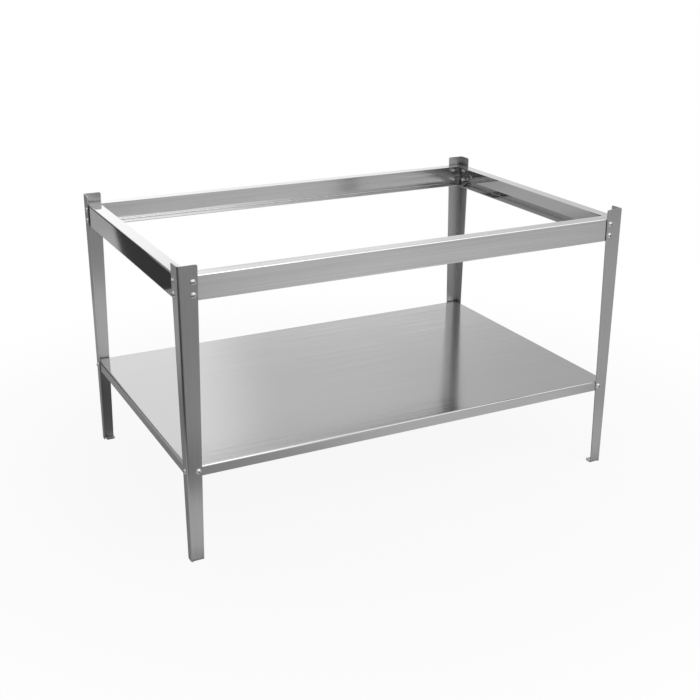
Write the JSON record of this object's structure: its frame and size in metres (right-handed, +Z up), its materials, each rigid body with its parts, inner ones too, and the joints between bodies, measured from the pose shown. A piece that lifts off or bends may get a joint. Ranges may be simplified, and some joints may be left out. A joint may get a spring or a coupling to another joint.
{
  "type": "grill stand",
  "caption": "Low open stand for a counter-top grill: tapered sheet metal angle legs bolted to a frame of channel rails, with a pan-shaped lower shelf.",
  "frame": {"origin": "on the floor, in the middle of the stand", "axes": "+X along the long side towards the right, +Y from the front towards the rear, +Z up"},
  "size_m": [1.0226, 0.6586, 0.61],
  "materials": {
    "leg_steel": "brushed along the leg",
    "rail_steel": "brushed along the rail",
    "shelf_steel": "brushed along the shelf",
    "fastener_steel": "bright rolled and turned"
  },
  "bodies": {
    "root": {"front_left_leg": "leg_steel", "front_right_leg": "leg_steel", "rear_left_leg": "leg_steel", "rear_right_leg": "leg_steel", "front_rail": "rail_steel", "rear_rail": "rail_steel", "left_rail": "rail_steel", "right_rail": "rail_steel", "lower_shelf": "shelf_steel", "front_left_rail_bolts": "fastener_steel", "front_right_rail_bolts": "fastener_steel", "rear_left_rail_bolts": "fastener_steel", "rear_right_rail_bolts": "fastener_steel", "front_left_rail_nuts": "fastener_steel", "front_right_rail_nuts": "fastener_steel", "rear_left_rail_nuts": "fastener_steel", "rear_right_rail_nuts": "fastener_steel", "front_left_shelf_bolts": "fastener_steel", "front_right_shelf_bolts": "fastener_steel", "rear_left_shelf_bolts": "fastener_steel", "rear_right_shelf_bolts": "fastener_steel", "front_left_shelf_nuts": "fastener_steel", "front_right_shelf_nuts": "fastener_steel", "rear_left_shelf_nuts": "fastener_steel", "rear_right_shelf_nuts": "fastener_steel"}
  },
  "joints": []
}
